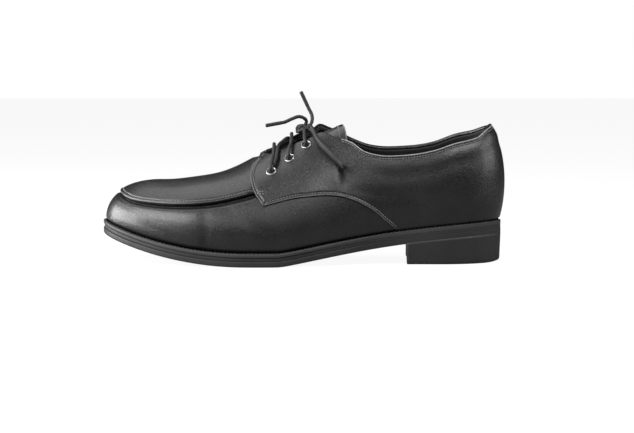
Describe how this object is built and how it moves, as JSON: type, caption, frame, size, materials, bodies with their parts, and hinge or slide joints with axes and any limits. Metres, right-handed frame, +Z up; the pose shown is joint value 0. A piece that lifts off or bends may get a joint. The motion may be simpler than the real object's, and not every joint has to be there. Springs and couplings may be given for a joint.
{
  "type": "derby shoe",
  "caption": "Left men's lace-up derby shoe with a raised moccasin apron, curved quarters, a low block heel and a layered sole, laced and standing empty.",
  "frame": {"origin": "middle of the heel's flat bottom face, on the floor", "axes": "X along the shoe with the toe at -X, -Y to the outer side of the foot, +Z up"},
  "size_m": [0.3009, 0.1008, 0.128],
  "materials": {
    "upper_leather": "smooth polished black calf",
    "insole_leather": "matt black lining leather",
    "sole_rubber": "satin black, ribbed at the edge",
    "eyelet_metal": "bright plated rings",
    "lace_cotton": "thin round waxed black lace"
  },
  "bodies": {
    "root": {"outsole": "sole_rubber", "midsole": "sole_rubber", "welt": "sole_rubber", "heel": "sole_rubber", "insole": "insole_leather", "upper": "upper_leather", "tongue": "upper_leather", "eyelet_outer_side_1": "eyelet_metal", "eyelet_inner_side_1": "eyelet_metal", "eyelet_outer_side_2": "eyelet_metal", "eyelet_inner_side_2": "eyelet_metal", "eyelet_outer_side_3": "eyelet_metal", "eyelet_inner_side_3": "eyelet_metal", "lace_bar_1": "lace_cotton", "lace_bar_2": "lace_cotton", "lace_top_outer": "lace_cotton", "lace_top_inner": "lace_cotton", "lace_knot": "lace_cotton", "lace_loop_outer": "lace_cotton", "lace_loop_inner": "lace_cotton", "lace_end_front": "lace_cotton", "lace_end_up": "lace_cotton", "aglet_front": "lace_cotton", "aglet_up": "lace_cotton"}
  },
  "joints": []
}
